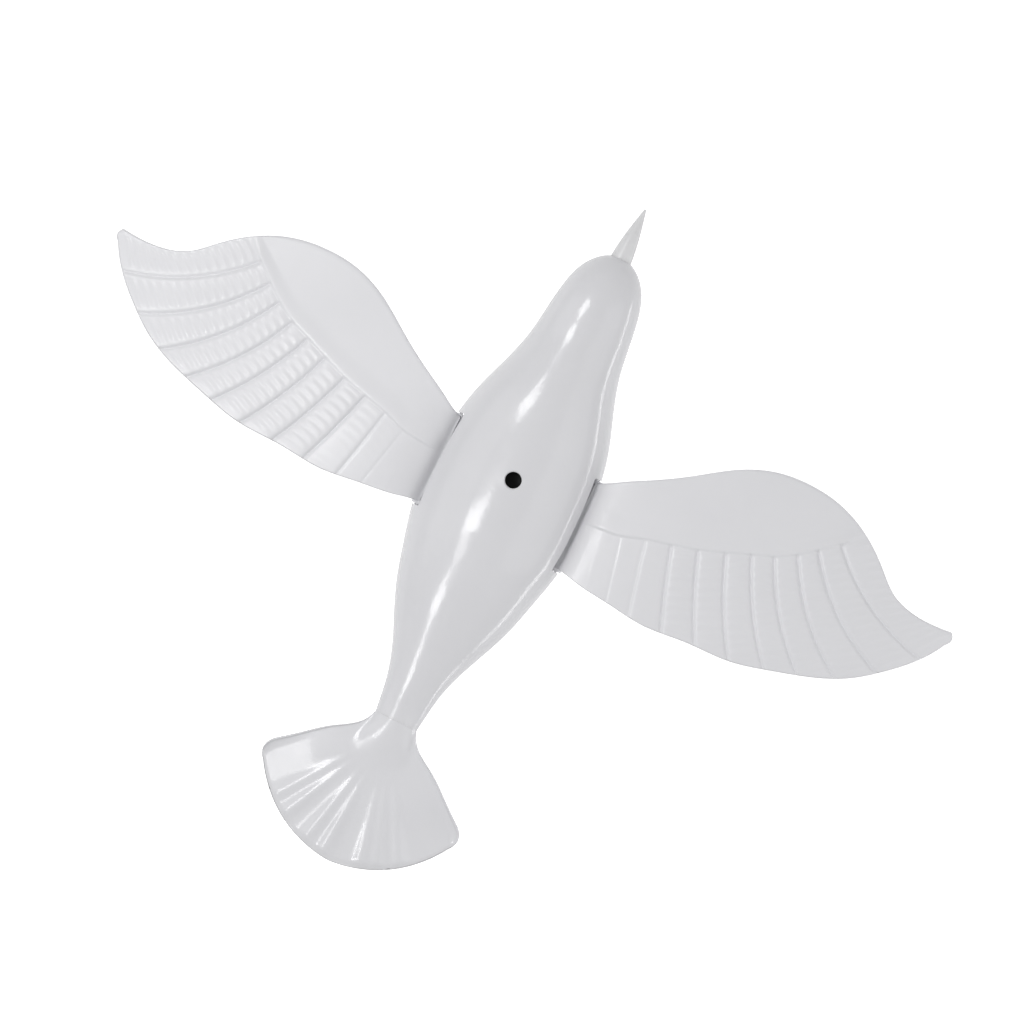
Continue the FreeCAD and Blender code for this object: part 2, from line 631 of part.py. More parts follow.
def gearbox_front_plate():
    parts = [box((-17.0, 17.0), FRONT_PLATE_Y, (-19.0, 15.0)), rod_y(3.6, (-23.0, -18.0))]
    for x, z in STANDOFFS:
        parts.append(rod_y(2.4, (REAR_PLATE_Y[1], FRONT_PLATE_Y[0]), x, z))
    for side in (-1, 1):
        x_range = (side * GUIDE_X - 3.0, side * GUIDE_X + 3.0)
        for z_range in ((11.5, 15.0), (-15.0, -11.5)):
            parts.append(box(x_range, (FRONT_PLATE_Y[1], GUIDE_Y + 3.0), z_range))
    for x, y in FEET[:2]:
        parts.append(box((x - 3.0, x + 3.0), (FRONT_PLATE_Y[1], y + 3.0), FOOT_Z))
    plate = joined(parts)
    plate = plate.cut(rod_y(CRANK_SHAFT_R + RUNNING_CLEARANCE, (-30.0, 0.0)))
    plate = plate.cut(rod_y(IDLER_AXLE_R, (-30.0, 0.0), 0, IDLER_Z))
    for x, z in STANDOFFS:
        plate = plate.cut(rod_y(1.0, (REAR_PLATE_Y[0], REAR_PLATE_Y[0] + 8.0), x, z))
    for side in (-1, 1):
        plate = plate.cut(rod_z(GUIDE_R, (-FAR, FAR), side * GUIDE_X, GUIDE_Y))
    for x, y in FEET[:2]:
        plate = plate.cut(rod_z(FOOT_SCREW_R + 0.1, (-FAR, FAR), x, y))
    return plate


def gearbox_rear_plate():
    parts = [box((-15.8, 15.8), REAR_PLATE_Y, (-19.0, 12.0))]
    for x, y in FEET[2:]:
        parts.append(box((x - 3.0, x + 3.0), (y - 3.0, REAR_PLATE_Y[0]), FOOT_Z))
    plate = joined(parts)
    plate = plate.cut(rod_y(MOTOR_BOSS_R, (-FAR, 0.0)))
    plate = plate.cut(rod_y(IDLER_AXLE_R, (-FAR, 0.0), 0, IDLER_Z))
    for x, z in STANDOFFS:
        plate = plate.cut(rod_y(1.1, (-FAR, 0.0), x, z))
    for side in (-1, 1):
        plate = plate.cut(rod_y(1.1, (-FAR, 0.0), side * MOTOR_SCREW_X))
    for x, y in FEET[2:]:
        plate = plate.cut(rod_z(FOOT_SCREW_R + 0.1, (-FAR, FAR), x, y))
    return plate


def idler_axle():
    return rod_y(IDLER_AXLE_R, (REAR_PLATE_Y[0], FRONT_PLATE_Y[1]), 0, IDLER_Z)


def crank_gear():
    gear = spur_gear(GEAR_MODULE, CRANK_TEETH, -math.pi / 2, (-27.0, -24.0))
    for step in range(6):
        angle = math.radians(60 * step)
        gear = gear.cut(rod_y(1.7, (-30.0, -20.0), 5.4 * math.cos(angle), 5.4 * math.sin(angle)))
    return gear.cut(rod_y(CRANK_SHAFT_R, (-30.0, -20.0)))


def crank_shaft():
    return rod_y(CRANK_SHAFT_R, CRANK_SHAFT_Y)


def crank_disc():
    disc = rod_y(5.6, (-17.5, -15.5))
    pin = rod_y(1.2, (-16.5, YOKE_Y[0] - 0.3), CRANK_RADIUS)
    return joined([disc, pin]).cut(rod_y(CRANK_SHAFT_R, (-30.0, -15.5)))


def idler_gear():
    """Twelve-tooth pinion and wide wheel moulded as one, turning on a fixed axle."""
    half_tooth = math.pi / IDLER_PINION_TEETH
    pinion = spur_gear(GEAR_MODULE, IDLER_PINION_TEETH, math.pi / 2 + half_tooth, (-28.6, -23.5), 0, IDLER_Z)
    wheel = spur_gear(GEAR_MODULE, IDLER_WHEEL_TEETH, math.pi / 2, (-31.0, -28.5), 0, IDLER_Z)
    gear = joined([pinion, wheel])
    return gear.cut(rod_y(IDLER_AXLE_R + RUNNING_CLEARANCE, (-FAR, 0), 0, IDLER_Z))


# ---------------------------------------------------------------- motor
def flat_sided(radius, y_range):
    return rod_y(radius, y_range).common(box((-FAR, FAR), y_range, (-MOTOR_FLAT, MOTOR_FLAT)))


def motor_can():
    can = joined([flat_sided(MOTOR_R, MOTOR_Y), rod_y(MOTOR_BOSS_R, (MOTOR_Y[1], MOTOR_Y[1] + 1.6))])
    can = can.cut(rod_y(MOTOR_SHAFT_R + RUNNING_CLEARANCE, (-FAR, 0)))
    for side in (-1, 1):
        can = can.cut(rod_y(1.0, (MOTOR_Y[1] - 2.0, MOTOR_Y[1]), side * MOTOR_SCREW_X))
    return can


def motor_cap():
    cap = flat_sided(MOTOR_R - 0.4, MOTOR_CAP_Y)
    boss = rod_y(2.6, (MOTOR_CAP_Y[0] - 1.2, MOTOR_CAP_Y[0]))
    return joined([cap, boss]).cut(rod_y(MOTOR_SHAFT_R + RUNNING_CLEARANCE, (-62.0, 0)))


def motor_terminals():
    tabs = []
    for side in (-1, 1):
        tab = box((side * 5.5 - 1.2, side * 5.5 + 1.2), (TERMINAL_END, MOTOR_CAP_Y[0]), (-0.25, 0.25))
        tabs.append(tab)
    return Part.makeCompound(tabs)


def motor_shaft():
    return rod_y(MOTOR_SHAFT_R, (-61.8, -28.0))


def motor_pinion():
    half_tooth = math.pi / MOTOR_PINION_TEETH
    pinion = spur_gear(GEAR_MODULE, MOTOR_PINION_TEETH, -math.pi / 2 + half_tooth, (-32.0, -28.0))
    return pinion.cut(rod_y(MOTOR_SHAFT_R, (-FAR, 0)))


# ---------------------------------------------------------------- power
def battery_tray(within):
    """Open-bottomed cradle clamped between the posts of two shell screws."""
    ends = (TRAY_Y[0] - CONTACT_THICKNESS, TRAY_Y[1] + CONTACT_THICKNESS)
    outside = box((-TRAY_HALF, TRAY_HALF), (ends[0] - 1.5, ends[1] + 1.5), (-11.0, 4.2))
    tray = outside.cut(box((-TRAY_HALF + 1.2, TRAY_HALF - 1.2), ends, (-20.0, 3.0)))
    lugs = []
    for side in (-1, 1):
        x_range = sorted((side * (TRAY_HALF - 0.6), side * (TRAY_LUG_X + 3.0)))
        lugs.append(box(x_range, TRAY_LUG_Y, (-TRAY_LUG_THICKNESS, 0.0)))
    tray = joined([tray] + lugs).common(within)
    for x, y in SHELL_SCREWS[1:3]:
        tray = tray.cut(rod_z(SCREW_R + SCREW_PLAY, (-FAR, FAR), x, y))
    for side in (-1, 1):
        tray = tray.cut(rod_y(1.0, (0.0, ends[0]), side * CELL_X, CELL_Z))
    return tray


def battery_cells():
    cells = []
    front_cell = [rod_y(CELL_R, (TRAY_Y[1] - CELL_NUB - CELL_BODY, TRAY_Y[1] - CELL_NUB), -CELL_X, CELL_Z)]
    front_cell.append(rod_y(2.7, (TRAY_Y[1] - CELL_NUB, TRAY_Y[1]), -CELL_X, CELL_Z))
    rear_cell = [rod_y(CELL_R, (TRAY_Y[0] + CELL_NUB, TRAY_Y[0] + CELL_NUB + CELL_BODY), CELL_X, CELL_Z)]
    rear_cell.append(rod_y(2.7, (TRAY_Y[0], TRAY_Y[0] + CELL_NUB), CELL_X, CELL_Z))
    for pieces in (front_cell, rear_cell):
        cells.append(joined(pieces))
    return Part.makeCompound(cells)


def battery_contacts():
    plates = [box((-13.0, 13.0), (TRAY_Y[1], TRAY_Y[1] + CONTACT_THICKNESS), (CELL_Z - 4, CELL_Z + 4))]
    for side in (-1, 1):
        x_range = (side * CELL_X - 5.0, side * CELL_X + 5.0)
        plates.append(box(x_range, (TRAY_Y[0] - CONTACT_THICKNESS, TRAY_Y[0]), (CELL_Z - 4, CELL_Z + 4)))
    return Part.makeCompound(plates)


def battery_springs():
    """Flattened conical springs, drawn as three closed turns each."""
    springs = []
    wire_r = 0.45
    room = TRAY_Y[1] - TRAY_Y[0] - CELL_BODY - CELL_NUB
    pitch = (room - 2 * wire_r) / 2
    for x, start, step_sign in ((-CELL_X, TRAY_Y[0], 1), (CELL_X, TRAY_Y[1], -1)):
        turns = []
        for turn in range(3):
            y = start + step_sign * (wire_r + turn * pitch)
            turns.append(Part.makeTorus(4.4 - 0.55 * turn, wire_r, Vector(x, y, CELL_Z), Vector(0, 1, 0)))
        springs.append(joined(turns))
    return Part.makeCompound(springs)


def switch_body():
    length = (SWITCH_Y - SWITCH_HALF_LENGTH, SWITCH_Y + SWITCH_HALF_LENGTH)
    body = box((-SWITCH_HALF_WIDTH, SWITCH_HALF_WIDTH), length, (-SWITCH_DEPTH, -5.0))
    slot_y = (SWITCH_Y - SWITCH_SLOT, SWITCH_Y + SWITCH_SLOT)
    body = body.cut(box((-2.0, 2.0), slot_y, (-SWITCH_DEPTH, -7.6)))
    legs = [rod_z(0.6, (-5.0, -3.0), 0, SWITCH_Y + offset) for offset in (-3.0, 0.0, 3.0)]
    return joined([body] + legs)


def switch_knob():
    y = SWITCH_Y - SWITCH_TRAVEL / 2
    stem = box((-1.6, 1.6), (y - 2.0, y + 2.0), (-17.4, -8.0))
    ridges = [rod_x(0.5, (-1.8, 1.8), y + offset, -17.2) for offset in (-1.4, 0.0, 1.4)]
    return joined([stem] + ridges)


def lead(points, radius, bend):
    """Insulated wire along straight runs joined by tangent arcs."""
    edges = []
    start = points[0]
    for corner, after in zip(points[1:-1], points[2:]):
        arriving = (corner - start).normalize()
        leaving = (after - corner).normalize()
        turn = arriving.getAngle(leaving)
        trim = bend * math.tan(turn / 2)
        arc_start = corner - arriving * trim
        arc_end = corner + leaving * trim
        towards = (leaving - arriving).normalize()
        middle = corner + towards * (bend / math.cos(turn / 2) - bend)
        edges.append(Part.LineSegment(start, arc_start).toShape())
        edges.append(Part.Arc(arc_start, middle, arc_end).toShape())
        start = arc_end
    edges.append(Part.LineSegment(start, points[-1]).toShape())
    path = Part.Wire(edges)
    first = (points[1] - points[0]).normalize()
    ring = Part.Wire([Part.Circle(points[0], first, radius).toShape()])
    return path.makePipeShell([ring], True, True)


def red_lead():
    """From the positive contact to the switch."""
    leg_y = SWITCH_Y - 3.0
    route = [(CELL_X, CONTACT_BACK, CELL_Z), (CELL_X, 2.0, CELL_Z), (19.5, -3.0, -13.5),
             (19.5, -28.0, -13.5), (13.0, -50.0, -11.5), (12.0, -64.0, -7.0), (8.0, leg_y, 1.5),
             (0.0, leg_y, 1.5), (0.0, leg_y, -3.0)]
    return lead([Vector(*point) for point in route], LEAD_R, LEAD_BEND)


def black_lead():
    """From the negative contact to the motor."""
    route = [(-CELL_X, CONTACT_BACK, CELL_Z), (-CELL_X, 2.0, CELL_Z), (-19.5, -3.0, -13.5),
             (-19.5, -28.0, -13.5), (-13.0, -52.0, -10.0), (-9.5, -70.5, -2.5), (-5.5, -72.0, 0.0),
             (-5.5, TERMINAL_END, 0.0)]
    return lead([Vector(*point) for point in route], LEAD_R, 2.4)


def switch_lead():
    """From the switch's middle leg to the motor."""
    route = [(0.0, SWITCH_Y, -3.0), (0.0, SWITCH_Y, 3.5), (5.5, SWITCH_Y - 0.5, 3.5),
             (5.5, SWITCH_Y - 0.5, 0.0), (5.5, TERMINAL_END, 0.0)]
    return lead([Vector(*point) for point in route], LEAD_R, 1.6)


# ---------------------------------------------------------------- battery door
def battery_door(outer, inner):
    wall = outer.cut(inner)
    door = wall.common(door_form(0))
    for side in (-1, 1):
        x_range = sorted((side * DOOR_KNUCKLE_X, side * (SHELL_KNUCKLE_X[1] + 0.3)))
        door = door.cut(box(x_range, (DOOR_HINGE_Y - 1, DOOR_HINGE_Y + 2.1), (-FAR, 0)))
    door = joined([door, knuckles([(-DOOR_KNUCKLE_X, DOOR_KNUCKLE_X)], 1)])
    door = door.cut(rod_x(DOOR_PIN_R + RUNNING_CLEARANCE, (-FAR, FAR), DOOR_HINGE_Y, DOOR_HINGE_Z))
    door = door.cut(rod_z(DOOR_HEAD_R + 0.2, (-FAR, DOOR_SEAT), 0, DOOR_SCREW_Y))
    return door.cut(rod_z(SCREW_R, (-FAR, 0), 0, DOOR_SCREW_Y))


def door_screw():
    seat = Vector(0, DOOR_SCREW_Y, DOOR_SEAT)
    return screw(seat, Vector(0, 0, 1), SCREW_R, 6.2, DOOR_HEAD_R, 1.1)


def door_hinge_pin():
    return rod_x(DOOR_PIN_R, (-SHELL_KNUCKLE_X[1], SHELL_KNUCKLE_X[1]), DOOR_HINGE_Y, DOOR_HINGE_Z)


# ---------------------------------------------------------------- assembly
def build():
    hollow = shell_pair()
    inside_wall = body_loft(WALL / 2)
    outer = body_loft(0)
    inner = body_loft(WALL)
    nodes["upper_shell"] = upper_shell(hollow, inside_wall)
    nodes["lower_shell"] = lower_shell(hollow, inside_wall)
    nodes["battery_door"] = battery_door(outer, inner)
    nodes["battery_tray"] = battery_tray(body_loft(WALL + 0.3))
    single = (beak, tail_fan, stake_tube, shell_screws, foot_screws, gearbox_front_plate, gearbox_rear_plate,
              gearbox_screws, guide_rods, idler_axle, motor_can, motor_cap, motor_terminals, motor_screws,
              battery_cells, battery_contacts, battery_springs, switch_body, switch_knob, red_lead,
              black_lead, switch_lead, rack_yoke, crank_gear, crank_shaft, crank_disc, idler_gear,
              motor_shaft, motor_pinion, door_screw, door_hinge_pin)
    for make in single:
        nodes[make.__name__] = make()
    for make in (wing_hub, wing_blade, wing_clips, hinge_pin):
        right = make()
        nodes["right_" + make.__name__] = right
        nodes["left_" + make.__name__] = mirrored(right)


build()
os.makedirs("parts", exist_ok=True)
for name, shape in nodes.items():
    if not shape.isValid():
        raise ValueError(name + " is not a valid shape")
    shape.exportStep("parts/" + name + ".step")
    print(name, len(shape.Solids), round(shape.Volume, 1))
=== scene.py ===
import json
import math

import bmesh
import bpy
import numpy as np
from mathutils import Matrix, Vector
from mathutils.bvhtree import BVHTree


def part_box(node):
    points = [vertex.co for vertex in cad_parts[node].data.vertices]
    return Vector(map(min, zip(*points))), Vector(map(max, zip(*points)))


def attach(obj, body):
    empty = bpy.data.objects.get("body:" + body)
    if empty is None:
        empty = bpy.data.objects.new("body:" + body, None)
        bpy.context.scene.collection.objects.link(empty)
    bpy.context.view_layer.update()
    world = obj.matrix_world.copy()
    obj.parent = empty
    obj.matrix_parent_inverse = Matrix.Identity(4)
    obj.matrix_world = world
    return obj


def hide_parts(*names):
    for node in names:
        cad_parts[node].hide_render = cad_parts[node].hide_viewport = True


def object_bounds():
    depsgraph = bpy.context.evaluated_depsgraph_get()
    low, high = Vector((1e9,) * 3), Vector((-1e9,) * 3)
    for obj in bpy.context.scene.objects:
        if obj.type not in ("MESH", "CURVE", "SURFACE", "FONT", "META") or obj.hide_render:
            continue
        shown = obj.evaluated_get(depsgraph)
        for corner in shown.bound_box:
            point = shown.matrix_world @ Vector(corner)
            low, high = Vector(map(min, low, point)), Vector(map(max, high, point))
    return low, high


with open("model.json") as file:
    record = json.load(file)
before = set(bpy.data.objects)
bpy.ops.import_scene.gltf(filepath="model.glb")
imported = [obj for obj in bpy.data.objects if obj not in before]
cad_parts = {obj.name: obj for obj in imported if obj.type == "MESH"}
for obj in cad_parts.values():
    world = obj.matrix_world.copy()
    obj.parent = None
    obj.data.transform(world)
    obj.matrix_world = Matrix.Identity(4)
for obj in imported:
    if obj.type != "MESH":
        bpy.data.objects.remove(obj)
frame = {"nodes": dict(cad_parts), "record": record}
cad_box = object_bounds()

MM = 0.001
BLADE_THICKNESS = 1.6 * MM
RAY_STEP = 0.2 * MM              # how far a ray that misses a CAD node moves in before the next try
RIM_DROP = 0.25                  # drop of a sheet's rounded border, as a share of its half thickness


# ---------------------------------------------------------------- small helpers
def smoothstep(low, high, value):
    share = np.clip((value - low) / (high - low), 0.0, 1.0)
    return share * share * (3.0 - 2.0 * share)


def bell(distance, width):
    return np.exp(-(distance / width) ** 2)


def outline_span(node, axis, samples):
    """Lowest and highest reach of a CAD node across the other plan axis, at each sample of axis."""
    mesh = frame["nodes"][node].data
    points = np.array([v.co[:] for v in mesh.vertices])
    edges = np.array([e.vertices[:] for e in mesh.edges])
    starts = points[edges[:, 0]]
    ends = points[edges[:, 1]]
    other = 1 - axis
    low = np.zeros(len(samples))
    high = np.zeros(len(samples))
    for index, sample in enumerate(samples):
        crossing = (starts[:, axis] - sample) * (ends[:, axis] - sample) <= 0
        crossing &= np.abs(ends[:, axis] - starts[:, axis]) > 1e-9
        a = starts[crossing]
        b = ends[crossing]
        share = (sample - a[:, axis]) / (b[:, axis] - a[:, axis])
        reach = a[:, other] + share * (b[:, other] - a[:, other])
        low[index] = reach.min()
        high[index] = reach.max()
    return low, high


def surface_heights(node, x_values, y_values, from_above):
    """Height of a CAD node's upper or lower face over each point. A point on the outline or just
    past it takes the height a little way in."""
    tree = BVHTree.FromObject(frame["nodes"][node], bpy.context.evaluated_depsgraph_get())
    lift = 1.0 if from_above else -1.0
    centre = Vector((x_values.mean(), y_values.mean(), lift))
    heights = np.zeros(x_values.shape)
    for index in np.ndindex(x_values.shape):
        origin = Vector((x_values[index], y_values[index], lift))
        inward = (centre - origin).normalized() * RAY_STEP
        hit = tree.ray_cast(origin, Vector((0, 0, -lift)))[0]
        while hit is None:
            origin += inward
            hit = tree.ray_cast(origin, Vector((0, 0, -lift)))[0]
        heights[index] = hit.z
    # A ray on the border may meet the side wall part way down, so the border follows its inside.
    heights[0] = 2 * heights[1] - heights[2]
    heights[-1] = 2 * heights[-2] - heights[-3]
    heights[:, 0] = 2 * heights[:, 1] - heights[:, 2]
    heights[:, -1] = 2 * heights[:, -2] - heights[:, -3]
    return heights


def blurred(grid, rounds):
    """Smooths a grid, holding its border."""
    for _ in range(rounds):
        inner = grid[1:-1, 1:-1]
        near = grid[:-2, 1:-1] + grid[2:, 1:-1] + grid[1:-1, :-2] + grid[1:-1, 2:]
        grid = grid.copy()
        grid[1:-1, 1:-1] = 0.5 * inner + 0.125 * near
    return grid


def border_loop(rows, columns):
    loop = [(0, c) for c in range(columns)]
    loop += [(r, columns - 1) for r in range(1, rows)]
    loop += [(rows - 1, c) for c in range(columns - 2, -1, -1)]
    loop += [(r, 0) for r in range(rows - 2, 0, -1)]
    return loop


def sheet_solid(name, top, bottom, inset, square_start=False):
    """Closed solid between two grids of points with one outline, its rim rounded by inset.
    With square_start its first row is cut off square."""
    rows, columns = top.shape[:2]
    top = top.copy()
    bottom = bottom.copy()
    loop = border_loop(rows, columns)
    border = np.array([top[i] for i in loop])
    low_border = np.array([bottom[i] for i in loop])
    rim = (border + low_border) / 2
    ahead = np.roll(border, -2, axis=0)
    behind = np.roll(border, 2, axis=0)
    run = ahead - behind
    inward = np.stack([-run[:, 1], run[:, 0], np.zeros(len(loop))], axis=1)
    inward /= np.maximum(np.linalg.norm(inward, axis=1, keepdims=True), 1e-9)
    after = np.roll(border, -1, axis=0)
    area = np.sum(border[:, 0] * after[:, 1] - after[:, 0] * border[:, 1])
    inward *= 1.0 if area > 0 else -1.0
    for at, point, low_point, direction in zip(loop, border, low_border, inward):
        if square_start and at[0] == 0:
            continue
        half = (point[2] - low_point[2]) / 2
        drop = np.array([0, 0, RIM_DROP * half])
        top[at] = point + direction * inset - drop
        bottom[at] = low_point + direction * inset + drop
    size = rows * columns
    vertices = np.concatenate([top.reshape(-1, 3), bottom.reshape(-1, 3), rim])
    faces = []
    for r in range(rows - 1):
        for c in range(columns - 1):
            a = r * columns + c
            quad = (a, a + 1, a + columns + 1, a + columns)
            faces.append(quad)
            faces.append(tuple(size + v for v in reversed(quad)))
    for k, at in enumerate(loop):
        following = loop[(k + 1) % len(loop)]
        a = at[0] * columns + at[1]
        b = following[0] * columns + following[1]
        ra = 2 * size + k
        rb = 2 * size + (k + 1) % len(loop)
        faces.append((b, a, ra, rb))
        faces.append((size + a, size + b, rb, ra))
    return mesh_object(name, vertices, faces)


def mesh_object(name, vertices, faces):
    mesh = bpy.data.meshes.new(name)
    mesh.from_pydata([tuple(v) for v in vertices], [], faces)
    work = bmesh.new()
    work.from_mesh(mesh)
    bmesh.ops.remove_doubles(work, verts=work.verts, dist=2e-6)
    bmesh.ops.dissolve_degenerate(work, edges=work.edges, dist=1e-7)
    bmesh.ops.recalc_face_normals(work, faces=work.faces)
    work.to_mesh(mesh)
    work.free()
    for polygon in mesh.polygons:
        polygon.use_smooth = True
    piece = bpy.data.objects.new(name, mesh)
    bpy.context.scene.collection.objects.link(piece)
    return piece


def mirrored_piece(piece, name):
    """Copy of a piece on the other side of the bird."""
    mesh = piece.data.copy()
    mesh.transform(Matrix.Scale(-1, 4, Vector((1, 0, 0))))
    mesh.flip_normals()
    copy = bpy.data.objects.new(name, mesh)
    bpy.context.scene.collection.objects.link(copy)
    return copy


# ---------------------------------------------------------------- materials
SKIN_DEPTH = 0.00006             # of the plastics' orange peel, in metres
LINE_DEPTH = 0.00003             # of the metals' grinding lines
EVEN = (1.0, 1.0, 1.0)
LENGTHWISE = (1.0, 0.1, 1.0)     # lines drawn out along the bird


def new_material(name):
    material = bpy.data.materials.new(name)
    material.use_nodes = True
    tree = material.node_tree
    shader = tree.nodes["Principled BSDF"]
    return material, tree, shader


def noise_node(tree, scale, detail):
    coordinates = tree.nodes.new("ShaderNodeTexCoord")
    noise = tree.nodes.new("ShaderNodeTexNoise")
    noise.inputs["Scale"].default_value = scale
    noise.inputs["Detail"].default_value = detail
    tree.links.new(coordinates.outputs["Object"], noise.inputs["Vector"])
    return noise


def ramp_between(tree, source, low, high):
    ramp = tree.nodes.new("ShaderNodeValToRGB")
    for element, position, colour in zip(ramp.color_ramp.elements, (0.35, 0.65), (low, high)):
        element.position = position
        element.color = (*colour, 1.0)
    tree.links.new(source, ramp.inputs["Fac"])
    return ramp


def range_node(tree, source, low, high):
    mapped = tree.nodes.new("ShaderNodeMapRange")
    mapped.inputs["From Min"].default_value = 0.3
    mapped.inputs["From Max"].default_value = 0.7
    mapped.inputs["To Min"].default_value = low
    mapped.inputs["To Max"].default_value = high
    tree.links.new(source, mapped.inputs["Value"])
    return mapped


def add_bump(tree, shader, source, distance, strength):
    bump = tree.nodes.new("ShaderNodeBump")
    bump.inputs["Distance"].default_value = distance
    bump.inputs["Strength"].default_value = strength
    tree.links.new(source, bump.inputs["Height"])
    tree.links.new(bump.outputs["Normal"], shader.inputs["Normal"])


def moulded_plastic(name, light, dark, rough, grain, subsurface, coat):
    """Injection-moulded plastic: cloudy colour, uneven gloss and a fine orange-peel skin."""
    material, tree, shader = new_material(name)
    cloud = noise_node(tree, 28.0, 3.0)
    colour = ramp_between(tree, cloud.outputs["Fac"], dark, light)
    tree.links.new(colour.outputs["Color"], shader.inputs["Base Color"])
    gloss = noise_node(tree, 90.0, 4.0)
    gloss_range = range_node(tree, gloss.outputs["Fac"], rough[0], rough[1])
    tree.links.new(gloss_range.outputs["Result"], shader.inputs["Roughness"])
    skin = noise_node(tree, grain, 2.0)
    add_bump(tree, shader, skin.outputs["Fac"], SKIN_DEPTH, 0.25)
    shader.inputs["IOR"].default_value = 1.5
    shader.inputs["Subsurface Weight"].default_value = subsurface
    shader.inputs["Subsurface Scale"].default_value = 0.003
    shader.inputs["Subsurface Radius"].default_value = (1.0, 1.0, 1.0)
    shader.inputs["Coat Weight"].default_value = coat
    shader.inputs["Coat Roughness"].default_value = 0.06
    return material


def metal(name, light, dark, rough, stretch):
    """Plated or ground metal: fine lines along the part and uneven brightness."""
    material, tree, shader = new_material(name)
    coordinates = tree.nodes.new("ShaderNodeTexCoord")
    mapping = tree.nodes.new("ShaderNodeMapping")
    mapping.inputs["Scale"].default_value = stretch
    lines = tree.nodes.new("ShaderNodeTexNoise")
    lines.inputs["Scale"].default_value = 900.0
    lines.inputs["Detail"].default_value = 3.0
    tree.links.new(coordinates.outputs["Object"], mapping.inputs["Vector"])
    tree.links.new(mapping.outputs["Vector"], lines.inputs["Vector"])
    colour = ramp_between(tree, lines.outputs["Fac"], dark, light)
    tree.links.new(colour.outputs["Color"], shader.inputs["Base Color"])
    gloss_range = range_node(tree, lines.outputs["Fac"], rough[0], rough[1])
    tree.links.new(gloss_range.outputs["Result"], shader.inputs["Roughness"])
    add_bump(tree, shader, lines.outputs["Fac"], LINE_DEPTH, 0.2)
    shader.inputs["Metallic"].default_value = 1.0
    return material


# Slot: name, lighter and darker colour, least and most roughness, grain, subsurface, coat.
PLASTICS = {
    "body_white": ("white body", (0.80, 0.80, 0.825), (0.785, 0.785, 0.81), (0.15, 0.21), 420.0, 0.08, 0.25),
    # Painted light: the wings' white is paler than the body's white, standing in for the extra light that
    # falls on the wings.
    "wing_white": ("white wing painted paler", (0.85, 0.85, 0.875), (0.835, 0.835, 0.86), (0.28, 0.36), 420.0, 0.08, 0.12),
    "tail_white": ("white tail", (0.81, 0.81, 0.835), (0.795, 0.795, 0.82), (0.16, 0.22), 420.0, 0.08, 0.25),
    "beak_ivory": ("beak", (0.80, 0.80, 0.81), (0.76, 0.76, 0.77), (0.22, 0.32), 420.0, 0.3, 0.1),
    "tube_black": ("black tube", (0.020,) * 3, (0.010,) * 3, (0.40, 0.55), 600.0, 0.0, 0.0),
    "gearbox_plastic": ("gearbox", (0.045, 0.045, 0.05), (0.03, 0.03, 0.035), (0.45, 0.6), 700.0, 0.0, 0.0),
    "gear_acetal": ("acetal", (0.70, 0.70, 0.66), (0.64, 0.64, 0.60), (0.32, 0.42), 500.0, 0.15, 0.0),
    "motor_cap_plastic": ("motor cap", (0.02,) * 3, (0.012,) * 3, (0.4, 0.5), 700.0, 0.0, 0.0),
    "tray_plastic": ("tray", (0.05,) * 3, (0.035,) * 3, (0.45, 0.6), 600.0, 0.0, 0.0),
    "switch_black": ("switch", (0.018,) * 3, (0.010,) * 3, (0.35, 0.45), 600.0, 0.0, 0.0),
    "cell_jacket": ("cell jacket", (0.10, 0.12, 0.15), (0.08, 0.10, 0.12), (0.2, 0.3), 300.0, 0.0, 0.4),
    "lead_red": ("red insulation", (0.42, 0.015, 0.012), (0.34, 0.010, 0.010), (0.35, 0.5), 900.0, 0.0, 0.0),
    "lead_black": ("black insulation", (0.02,) * 3, (0.012,) * 3, (0.35, 0.5), 900.0, 0.0, 0.0),
}
# Slot: name, lighter and darker colour, least and most roughness, how the lines are stretched.
METALS = {
    "screw_zinc": ("zinc screw", (0.62, 0.63, 0.64), (0.50, 0.51, 0.52), (0.25, 0.4), EVEN),
    "clip_steel": ("spring steel", (0.50, 0.50, 0.51), (0.40, 0.40, 0.41), (0.25, 0.4), EVEN),
    "shaft_steel": ("ground steel", (0.66, 0.66, 0.67), (0.55, 0.55, 0.56), (0.15, 0.28), LENGTHWISE),
    "motor_steel": ("motor can", (0.60, 0.60, 0.61), (0.50, 0.50, 0.51), (0.25, 0.4), LENGTHWISE),
    "contact_metal": ("nickel contact", (0.66, 0.65, 0.62), (0.56, 0.55, 0.52), (0.2, 0.35), EVEN),
    "pinion_brass": ("brass", (0.72, 0.53, 0.24), (0.60, 0.42, 0.18), (0.2, 0.35), EVEN),
}
MATERIALS = {slot: moulded_plastic(*row) for slot, row in PLASTICS.items()}
MATERIALS.update({slot: metal(*row) for slot, row in METALS.items()})


def finish_cad_nodes():
    """Gives each CAD node the detailed material of its record slot."""
    for entry in frame["record"]["subparts"]:
        node = frame["nodes"][entry["node"]]
        material = MATERIALS[entry["material_slot"]]
        for slot in node.material_slots:
            slot.link = "OBJECT"
            slot.material = material


def give(piece, slot):
    piece.data.materials.clear()
    piece.data.materials.append(MATERIALS[slot])


